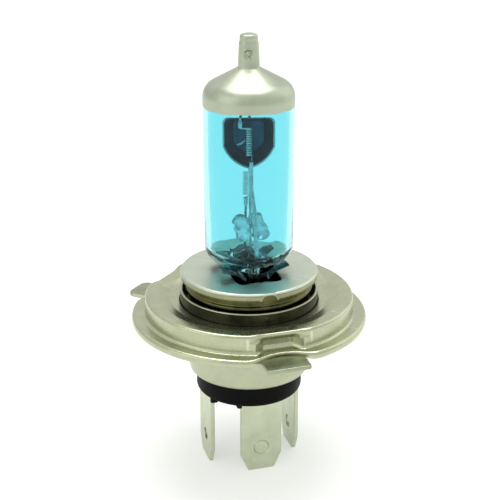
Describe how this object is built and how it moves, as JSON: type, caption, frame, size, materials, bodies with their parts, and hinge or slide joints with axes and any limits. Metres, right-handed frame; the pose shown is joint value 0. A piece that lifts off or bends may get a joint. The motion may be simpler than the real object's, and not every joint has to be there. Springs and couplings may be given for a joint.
{
  "type": "headlight bulb",
  "caption": "Two-filament halogen headlamp bulb: tinted glass burner with a silvered tip and glare shield on a lugged metal prefocus cap with blade terminals.",
  "frame": {"origin": "on the bulb's axis in the seating plane, which is the glass side of the lugs", "axes": "+Z along the bulb's axis towards the glass tip; -Y towards the wide reference lug and the front blade"},
  "size_m": [0.043, 0.0453, 0.0804],
  "materials": {
    "tinted_glass": "clear blue tint, gloss",
    "silver_coat": "satin silver coat",
    "molybdenum": "drawn wire and rolled foil",
    "shield_metal": "formed sheet, satin",
    "tungsten": "coiled wire",
    "clear_quartz": "clear, fire-polished",
    "polished_nickel": "polished",
    "spring_steel": "bright",
    "satin_nickel": "satin plated",
    "tinned_blade": "satin plated",
    "black_insulator": "matt moulded",
    "nickel_wire": "drawn wire"
  },
  "bodies": {
    "root": {"glass_envelope": "tinted_glass", "cap_coating": "silver_coat", "foil_common": "molybdenum", "foil_low_beam": "molybdenum", "foil_high_beam": "molybdenum", "glare_shield": "shield_metal", "low_beam_filament": "tungsten", "high_beam_filament": "tungsten", "common_lead": "molybdenum", "low_beam_lead": "molybdenum", "high_beam_lead": "molybdenum", "filament_crimps": "molybdenum", "quartz_bridge": "clear_quartz", "mounting_disc": "polished_nickel", "burner_sleeve": "polished_nickel", "pinch_clamp": "spring_steel", "prefocus_ring": "satin_nickel", "lug_plate": "satin_nickel", "base_shell": "satin_nickel", "terminal_low_beam": "tinned_blade", "terminal_ground": "tinned_blade", "terminal_high_beam": "tinned_blade", "terminal_insulator": "black_insulator", "outer_lead_common": "nickel_wire", "outer_lead_low_beam": "nickel_wire", "outer_lead_high_beam": "nickel_wire", "terminal_welds": "nickel_wire"}
  },
  "joints": []
}
